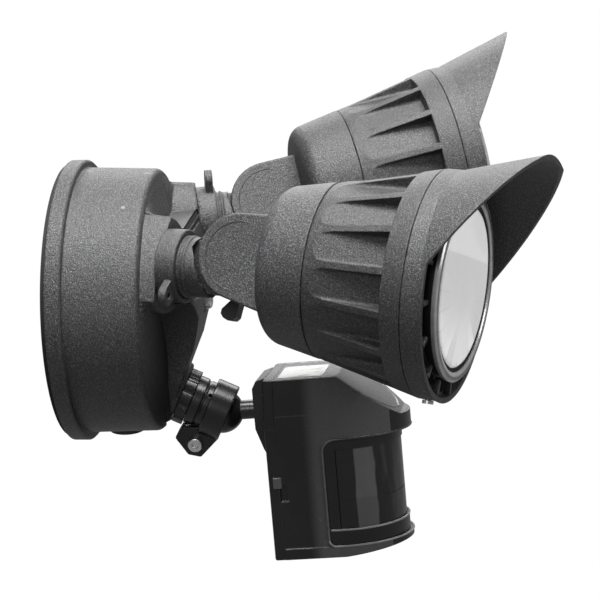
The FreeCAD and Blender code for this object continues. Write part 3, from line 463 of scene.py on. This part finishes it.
finishes = {
    "powder_coat": newMaterial("powderCoat", powderCoat, specular(0.6)),
    "gloss_black": newMaterial("glossBlack", glossBlack, specular(0.5)),
    "black_plastic": newMaterial("matteBlack", plainFinish(plain["matteBlack"]), specular(0.4)),
    "rubber": newMaterial("blackRubber", plainFinish(plain["blackRubber"]), specular(0.3)),
    "steel": newMaterial("platedSteel", platedSteel, {"Metallic": 1.0}),
    "strap_steel": newMaterial("galvanised", galvanised, {"Metallic": 1.0}),
    "reflector": newMaterial("mirrorFacets", plainFinish(plain["mirrorFacets"]), {"Metallic": 1.0}),
    "dark_lens": newMaterial("smokedLens", smokedLens, specular(0.5)),
    "circuit": newMaterial("boardPale", plainFinish(plain["boardPale"]), specular(0.4)),
    "driver_case": newMaterial("caseWhite", plainFinish(plain["caseWhite"]), specular(0.4)),
    "wire_nut": newMaterial("nutOrange", nutOrange, specular(0.4)),
}
special = {"sensor_housing": newMaterial("sensorBlack", sensorBlack, specular(0.5))}
special["rear_cover"] = special["sensor_housing"]
for side in sides:
    # painted glow: the lens gives off its painted tone as light
    special["front_lens_" + side] = newMaterial("paleLens_" + side, cupReflectionLens(side),
                                                {**specular(0.6), "Emission Strength": 1.0})
    special["lens_ring_" + side] = newMaterial("brightRim_" + side, brightRim(side),
                                               {**specular(0.6), "Metallic": 0.35})
# these castings get the powder coat's tone scaled by this share, lighter or darker than the rest
coatShare = {"rear_cap_near": 1.32, "heat_sink_near": 0.88, "heat_sink_far": 0.88}
for name, share in coatShare.items():
    special[name] = newMaterial("powder_" + name, powderOf(share), specular(0.6))
# painted highlight: tone added on the edges, and all over, of beads and latches that stand in for bright edge
# lines
trimTones = {"beadBlack": (0.05, 0.03), "beadHighlitGrey": (0.05, 0.13), "beadHighlitPale": (0.05, 0.30),
             "latchBlack": (0.30, 0.10)}
trims = {name: newMaterial(name, glossOf(*tones), specular(0.6)) for name, tones in trimTones.items()}
labelFilm = newMaterial("paleLabel", paleLabel, specular(0.3))
slotOf = {part["node"]: part["material_slot"] for part in frame["record"]["subparts"]}
for name, node in nodes.items():
    node.data.materials.clear()
    node.data.materials.append(special[name] if name in special else finishes[slotOf[name]])
print("finishes on", len(nodes), "nodes")


# thin pieces that the photograph shows and the solids leave out, and a canopy and wing knobs closer to it
def newObject(name, data):
    thing = bpy.data.objects.new(name, data)
    bpy.context.scene.collection.objects.link(thing)
    return thing


def newPiece(name, points, faces, material, body):
    # a closed mesh that moves with this body
    mesh = bpy.data.meshes.new(name)
    mesh.from_pydata([tuple(p) for p in points], [], faces)
    mesh.materials.append(material)
    bm = bmesh.new()
    bm.from_mesh(mesh)
    bmesh.ops.recalc_face_normals(bm, faces=bm.faces)
    bm.to_mesh(mesh)
    bm.free()
    piece = newObject(name, mesh)
    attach(piece, body)
    return piece


def newBead(name, points, radius, material, body):
    # a thin rounded bead along these points, its radius in metres
    curve = bpy.data.curves.new(name, "CURVE")
    curve.dimensions = "3D"
    curve.bevel_depth = radius
    curve.bevel_resolution = 2
    curve.use_fill_caps = True
    spline = curve.splines.new("POLY")
    spline.points.add(len(points) - 1)
    for spot, point in zip(spline.points, points):
        spot.co = (*point, 1)
    curve.materials.append(material)
    piece = newObject(name, curve)
    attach(piece, body)


def prism(points, first=0):
    # the faces of a closed band: a lower outline, then the same count of points above it
    count = len(points) // 2
    walls = [(i, (i + 1) % count, count + (i + 1) % count, count + i) for i in range(count)]
    ends = [tuple(range(count)), tuple(range(count, 2 * count))]
    return [tuple(first + corner for corner in face) for face in walls + ends]


def ringFaces(rings, steps, first=0):
    # the faces of a hoop whose outline has this many rings of points
    faces = []
    for ring in range(rings):
        beyond = (ring + 1) % rings
        for i in range(steps):
            after = (i + 1) % steps
            corners = ((ring, i), (ring, after), (beyond, after), (beyond, i))
            faces.append(tuple(first + step * steps + k for step, k in corners))
    return faces


def arc(centre, radius, begin, end, steps=6):
    turns = [math.radians(begin + (end - begin) * i / steps) for i in range(steps + 1)]
    return [(centre[0] + radius * math.cos(turn), centre[1] + radius * math.sin(turn)) for turn in turns]


# canopy, in the frame's mm
casting = {"depth": 47.5, "shown": 44.2, "from": 12.0, "edge": 58.0, "plateau": 60.7, "hollow": 60.1,
           "hollowHalf": 27.2, "slack": 0.1, "hollowSlack": 0.06, "slopeFrom": 8.0, "slope": 0.20}


def canopyCasting():
    # the canopy with its drum's front edge and the slope above its centre drawn back as photographed
    mesh = nodes["canopy_housing"].data.copy()
    start = casting["from"]
    drawnBack = (casting["shown"] - start) / (casting["depth"] - start)
    for vertex in mesh.vertices:
        x, y, z = vertex.co * 1000
        onDrum = math.hypot(x, z) > casting["edge"] and start < -y < casting["depth"] + casting["slack"]
        inHollow = abs(-y - casting["hollow"]) < casting["hollowSlack"] and abs(x) < casting["hollowHalf"]
        if onDrum:
            y = -start + (y + start) * drawnBack
        elif (-y > casting["plateau"] or inHollow) and z > casting["slopeFrom"]:
            y += (z - casting["slopeFrom"]) * casting["slope"]
        vertex.co.y = y / 1000
    piece = newObject("canopy_casting", mesh)
    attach(piece, "canopy")
    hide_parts("canopy_housing")


# sensor, in mm from its ball
label = {"x": (-20.0, 12.0), "y": (-52.4, -31.0), "corner": 1.6, "seat": 17.3, "gap": 0.02, "film": 0.18}


def roofLabel():
    # thin film with rounded corners
    corner = label["corner"]
    (left, right), (front, back) = label["x"], label["y"]
    outline = []
    for x, y, begin in ((right, back, 0), (left, back, 90), (left, front, 180), (right, front, 270)):
        centre = (x - math.copysign(corner, x), y + (corner if begin > 90 else -corner))
        outline += arc(centre, corner, begin, begin + 90, 4)
    points = [onSensor((x, y, label["seat"] + rise))
              for rise in (label["gap"], label["film"]) for x, y in outline]
    newPiece("blank_label", points, prism(points), labelFilm, "sensor")


window = {"half": 30.1, "edge": -50.5, "shoulder": -56.0, "brow": -90.4, "browUnder": -11.5, "topCorner": 6.0,
          "bead": 0.00055}
flange = {"half": 30.3, "shoulder": -56.0, "front": -87.9, "top": -62.4, "corner": 3.0}
band = {"half": 29.1, "shoulder": -58.0, "front": -86.3, "top": -54.9}
roof = {"back": -26.0, "front": -85.4, "bend": -59.5, "knee": -72.0, "top": 17.3, "low": 7.9, "steep": 0.752,
        "gentle": 0.793, "half": 24.5, "spread": 0.336, "shoulder": -56.0, "wide": 30.0, "inset": 0.15,
        "sink": 0.2, "steps": 32}


def nose(half, shoulder, front, height, side, steps=18):
    # one half of an elliptical front, from its tip back to the shoulder
    turns = [math.pi / 2 * i / steps for i in range(steps + 1)]
    return [(side * half * math.sin(turn), shoulder - (shoulder - front) * math.cos(turn), height)
            for turn in turns]


def roofLine(side):
    # one edge of the roof: level, then down to the brow, and round its front
    path = []
    for i in range(roof["steps"] + 1):
        y = roof["back"] + (roof["front"] - roof["back"]) * i / roof["steps"]
        z = roof["top"]
        if y < roof["bend"]:
            z = max(roof["low"], roof["top"] + (y - roof["bend"]) * roof["steep"])
        if y < roof["knee"]:
            z = roof["low"] + (y - roof["knee"]) * roof["gentle"]
        lean = roof["half"] + (roof["top"] - z) * roof["spread"]
        room = 1 - (max(0, roof["shoulder"] - y) / (roof["shoulder"] - roof["front"])) ** 2
        x = min(lean, roof["wide"] * math.sqrt(max(0, room))) - roof["inset"]
        path.append((side * x, y, z - roof["sink"]))
    return path


def sensorBead(name, path, trim):
    newBead(name, [onSensor(point) for point in path], window["bead"], trims[trim], "sensor")


def sensorBeads():
    # moulded beads: along the flange, round the lens's recess, under the brow, on the roof, under the lens;
    # their pale and grey tones paint highlight lines along these edges
    low, top = flange["corner"], window["topCorner"]
    for name, side in zip(sides, (-1, 1)):
        path = nose(flange["half"], flange["shoulder"], flange["front"], flange["top"], side)
        turned = arc((window["edge"] - low, flange["top"] + low), low, -90, 0)
        path += [(side * flange["half"], y, z) for y, z in turned]
        sensorBead("flange_bead_" + name, path, "beadHighlitPale")
        path = [(side * flange["half"], window["edge"], flange["top"] + low)]
        turned = arc((window["edge"] - top, window["browUnder"] - top), top, 0, 90)
        path += [(side * window["half"], y, z) for y, z in turned]
        sensorBead("window_bead_" + name, path, "beadHighlitGrey")
        path = nose(window["half"], window["shoulder"], window["brow"], window["browUnder"], side)
        sensorBead("brow_bead_" + name, path, "beadBlack")
        sensorBead("roof_bead_" + name, roofLine(side), "beadHighlitGrey")
    left, right = [nose(band["half"], band["shoulder"], band["front"], band["top"], side) for side in (-1, 1)]
    ends = [(side * band["half"], window["edge"] - 1, band["top"]) for side in (-1, 1)]
    sensorBead("lens_bead", ends[:1] + left[::-1] + right[1:] + ends[1:], "beadHighlitPale")


latch = {"y": (-30.4, -26.0), "z": (-33.5, -27.8), "half": 30.0, "sunk": -0.3, "proud": 0.55, "slope": 0.35}


def coverLatches():
    # a small chamfered block on each side, over the seam of the rear cover, its edges given a painted
    # highlight and its face painted lighter
    (front, back), (under, over) = latch["y"], latch["z"]
    for name, side in zip(sides, (-1, 1)):
        points = []
        for proud, slope in ((latch["sunk"], 0.0), (latch["proud"], latch["slope"])):
            outline = ((front + slope, under + slope), (back - slope, under + slope),
                       (back - slope, over - slope), (front + slope, over - slope))
            points += [onSensor((side * (latch["half"] + proud), y, z)) for y, z in outline]
        newPiece("cover_latch_" + name, points, prism(points), trims["latchBlack"], "sensor")


# heads and arms, in mm from a head's foot, its tilt bolt or its arm's foot
ribs = {"count": 16, "phase": 14.0, "inner": 41.6, "outer": 47.7, "half": 0.9, "back": 97.9, "front": 101.1}


def rimRibs(side):
    # thin ribs that part the pockets round the lens ring, level with the rim
    head = heads[side]
    half = ribs["half"]
    outline = ((ribs["inner"], -half), (ribs["outer"], -half), (ribs["outer"], half), (ribs["inner"], half))
    points = []
    faces = []
    for i in range(ribs["count"]):
        turn = math.radians(ribs["phase"] + 360.0 / ribs["count"] * i)
        outward = head["across"] * math.cos(turn) + head["upward"] * math.sin(turn)
        sideways = head["upward"] * math.cos(turn) - head["across"] * math.sin(turn)
        block = [head["foot"] + (outward * r + sideways * w + head["ahead"] * z) * mm
                 for z in (ribs["back"], ribs["front"]) for r, w in outline]
        faces += prism(block, len(points))
        points += block
    newPiece("rim_ribs_" + side, points, faces, finishes["powder_coat"], "head_" + side)


# each cheek's rounded end has its centre this far up and ahead of the tilt bolt, and rest and swing are tilts
# of the head in degrees
cheek = {"up": 5.4, "ahead": 1.6, "round": 20.1, "arc": 15.6, "side": 10.35, "begin": 80.0, "end": 262.0,
         "bead": 0.00028}
collar = {"outer": 13.5, "inner": 12.4, "start": 3.6, "longest": 12.0, "steps": 96, "boltAhead": 26.0,
          "cheekSide": 10.8, "cheekSlope": 1.1, "rest": {"near": -3.5, "far": 8.0}, "swing": (-15.0, 22.0)}


def collarEnd(height, tilts):
    # how far the collar may reach at this height before it meets the rounded cheek at one of these tilts
    ends = [collar["longest"]]
    for tilt in tilts:
        lean = math.radians(tilt)
        centreUp = cheek["up"] * math.cos(lean) + cheek["ahead"] * math.sin(lean)
        centreAhead = collar["boltAhead"] + cheek["ahead"] * math.cos(lean) - cheek["up"] * math.sin(lean)
        room = cheek["round"] ** 2 - (height - centreUp) ** 2
        if room > 0:
            ends.append(centreAhead - math.sqrt(room))
    return min(ends)


def armCollar(side):
    # round sleeve that carries the tube on up to the head's cheeks, hollowed so that they can tilt
    along = Vector(joints["head_swivel_" + side]["axis"])
    across = Vector(joints["head_tilt_" + side]["axis"]) * -1
    upward = along.cross(across)
    foot = jointPlace("head_swivel_" + side)
    outer, inner = collar["outer"], collar["inner"]
    points = []
    for radius, ahead in ((outer, False), (outer, True), (inner, True), (inner, False)):
        for i in range(collar["steps"]):
            turn = 2 * math.pi * i / collar["steps"]
            x = radius * math.cos(turn)
            y = radius * math.sin(turn)
            end = collarEnd(y, collar["swing"])
            if abs(x) > collar["cheekSide"]:
                sloped = end + (abs(x) - collar["cheekSide"]) * collar["cheekSlope"]
                end = min(collarEnd(y, [collar["rest"][side]]), sloped)
            points.append(foot + (across * x + upward * y + along * (end if ahead else collar["start"])) * mm)
    faces = ringFaces(4, collar["steps"])
    newPiece("arm_collar_" + side, points, faces, finishes["powder_coat"], "arm_" + side)


def cheekBeads(side):
    # raised arc inside the rounded end of each cheek
    head = heads[side]
    bolt = jointPlace("head_tilt_" + side)
    flat = arc((cheek["ahead"], cheek["up"]), cheek["arc"], cheek["begin"], cheek["end"], 24)
    for name, x in (("left", -cheek["side"]), ("right", cheek["side"])):
        points = [bolt + (head["across"] * x + head["ahead"] * z + head["upward"] * y) * mm for z, y in flat]
        newBead("cheek_bead_" + side + "_" + name, points, cheek["bead"], finishes["powder_coat"],
                "head_" + side)


# radii of the hub, heights along the tilt bolt, and half widths of a wing at its distances from the bolt
wing = {"hub": 8.6, "bore": 3.1, "chamfer": 1.0, "steps": 40, "base": 11.5, "top": 22.5, "low": 13.6,
        "high": 20.6, "turn": 8.0, "tip": 0.93,
        "half": ((7.8, 3.9), (12.0, 2.7), (16.0, 2.3), (19.0, 3.2), (21.5, 4.0), (23.6, 3.3), (24.6, 1.3))}


def wingDirection(side, bolt, along):
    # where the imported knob's lower wing points, turned on a little
    arms = [v.co - bolt for v in nodes["wing_knob_" + side].data.vertices]
    spread = [arm - along * arm.dot(along) for arm in arms]
    longest = max(spread, key=lambda arm: arm.length)
    tips = [arm for arm in spread if arm.dot(longest) > 0 and arm.length > longest.length * wing["tip"]]
    outward = sum(tips, Vector()).normalized()
    if outward.z > 0:
        outward = -outward
    axis = Vector(joints["knob_turn_" + side]["axis"])
    return Matrix.Rotation(math.radians(wing["turn"]), 3, axis) @ outward


def slimWing(side):
    # round bored hub with two slim wings that end in a rounded pad
    bolt = jointPlace("knob_turn_" + side)
    along = Vector(joints["knob_turn_" + side]["axis"]).normalized()
    if (middle("wing_knob_" + side) - bolt).dot(along) <= 0:
        along = -along
    outward = wingDirection(side, bolt, along)
    sideways = along.cross(outward)
    points = []
    faces = []
    for way in (1, -1):
        pad = [(u * way, -w) for u, w in wing["half"]] + [(u * way, w) for u, w in wing["half"][::-1]]
        block = [bolt + (outward * u + sideways * w + along * depth) * mm
                 for depth in (wing["low"], wing["high"]) for u, w in pad]
        faces += prism(block, len(points))
        points += block
    hub = ((wing["hub"], wing["base"]), (wing["hub"], wing["top"] - wing["chamfer"]),
           (wing["hub"] - wing["chamfer"], wing["top"]), (wing["bore"], wing["top"]),
           (wing["bore"], wing["base"]))
    faces += ringFaces(len(hub), wing["steps"], len(points))
    for radius, depth in hub:
        for i in range(wing["steps"]):
            turn = 2 * math.pi * i / wing["steps"]
            flat = outward * math.cos(turn) + sideways * math.sin(turn)
            points.append(bolt + (flat * radius + along * depth) * mm)
    black = finishes["black_plastic"]
    piece = newPiece("slim_wing_" + side, points, faces, black, "knob_" + side)
    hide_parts("wing_knob_" + side)


canopyCasting()
roofLabel()
sensorBeads()
coverLatches()
print("canopy, label, sensor beads and latches made")
for side in sides:
    rimRibs(side)
    armCollar(side)
    cheekBeads(side)
    slimWing(side)
print("ribs, collars, cheek beads and wings made")


# camera at the photograph's angle, in degrees, metres and pixels
shot = {"azimuth": -82.689, "elevation": 16.631, "roll": -2.499, "place": (-0.95468, -0.23206, 0.28666),
        "pixels": 600, "focal": 2126.22, "sensor": 36.0}


def makeCamera():
    turn = math.radians(shot["azimuth"])
    lift = math.radians(shot["elevation"])
    roll = math.radians(shot["roll"])
    back = Vector((math.sin(turn) * math.cos(lift), -math.cos(turn) * math.cos(lift), math.sin(lift)))
    level = Vector((math.cos(turn), math.sin(turn), 0))
    upright = back.cross(level)
    right = level * math.cos(roll) + upright * math.sin(roll)
    up = upright * math.cos(roll) - level * math.sin(roll)
    data = bpy.data.cameras.new("camera")
    data.sensor_width = shot["sensor"]
    data.lens = shot["focal"] / shot["pixels"] * shot["sensor"]
    data.clip_start = 0.01
    camera = newObject("camera", data)
    camera.matrix_world = Matrix((
        (right.x, up.x, back.x, shot["place"][0]), (right.y, up.y, back.y, shot["place"][1]),
        (right.z, up.z, back.z, shot["place"][2]), (0, 0, 0, 1)))
    bpy.context.scene.camera = camera


makeCamera()
print("camera placed")


# floor, world and lamps
studio = {"floorDrop": 0.30, "floorSize": 12.0, "shown": 1.04, "fill": 0.05, "mirrored": 0.22, "paint": 0.10,
          "shadow": 0.03}
lamps = [
    {"name": "overhead", "place": (-0.15, -0.15, 1.10), "aim": (0, -0.12, 0), "size": (0.8, 0.6),
     "power": 33.0},
    {"name": "behind", "place": (1.20, 0.05, 0.55), "aim": (0, -0.12, 0), "size": (1.0, 0.6), "power": 8.0},
    {"name": "side", "place": (-1.30, 0.10, 0.80), "aim": (0, -0.10, 0), "size": (0.5, 0.5), "power": 5.0},
    {"name": "front", "place": (-0.35, -1.40, 0.60), "aim": (0, -0.12, 0), "size": (0.6, 0.6), "power": 5.0},
]


def shownRay(start):
    # 1 where the camera or glass looks, less where a glossy surface looks
    path = start.add("ShaderNodeLightPath").socket.node
    camera, glossyRay, through = [Wire(start.tree, path.outputs[kind + " Ray"]) for kind in
                                  ("Is Camera", "Is Glossy", "Is Transmission")]
    return start.calc("MAXIMUM", start.calc("MAXIMUM", camera, glossyRay * studio["mirrored"]), through)


def makeFloor():
    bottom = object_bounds()[0].z - studio["floorDrop"]
    half = studio["floorSize"] / 2
    mesh = bpy.data.meshes.new("floor")
    corners = [(-half, -half, bottom), (half, -half, bottom), (half, half, bottom), (-half, half, bottom)]
    mesh.from_pydata(corners, [], [(0, 1, 2, 3)])
    floor = newObject("floor", mesh)
    material = bpy.data.materials.new("paleFloor")
    material.use_nodes = True
    material.node_tree.nodes.clear()
    start = Wire(material.node_tree)
    matte = start.add("ShaderNodeBsdfDiffuse", None, {"Color": (*[studio["paint"]] * 3, 1)})
    glow = start.add("ShaderNodeEmission", None, {"Color": (1, 1, 1, 1), "Strength": studio["shown"]})
    seen = shownRay(start) * (1 - studio["shadow"])
    mix = start.add("ShaderNodeMixShader", None, {0: seen, 1: matte, 2: glow})
    start.add("ShaderNodeOutputMaterial", None, {"Surface": mix})
    mesh.materials.append(material)


def makeWorld():
    world = bpy.data.worlds.new("studio")
    bpy.context.scene.world = world
    world.use_nodes = True
    world.node_tree.nodes.clear()
    start = Wire(world.node_tree)
    fill = start.add("ShaderNodeBackground", None, {"Color": (1, 1, 1, 1), "Strength": studio["fill"]})
    white = start.add("ShaderNodeBackground", None, {"Color": (1, 1, 1, 1), "Strength": studio["shown"]})
    mix = start.add("ShaderNodeMixShader", None, {0: shownRay(start), 1: fill, 2: white})
    start.add("ShaderNodeOutputWorld", None, {"Surface": mix})


def makeLamp(lamp):
    data = bpy.data.lights.new(lamp["name"], "AREA")
    data.shape = "RECTANGLE"
    data.size, data.size_y = lamp["size"]
    data.energy = lamp["power"]
    light = newObject(lamp["name"], data)
    light.location = lamp["place"]
    aim = Vector(lamp["aim"]) - Vector(lamp["place"])
    light.rotation_euler = aim.to_track_quat("-Z", "Y").to_euler()


makeFloor()
makeWorld()
for lamp in lamps:
    makeLamp(lamp)
bpy.context.scene.view_settings.view_transform = "Standard"
print("floor, world and lamps made")
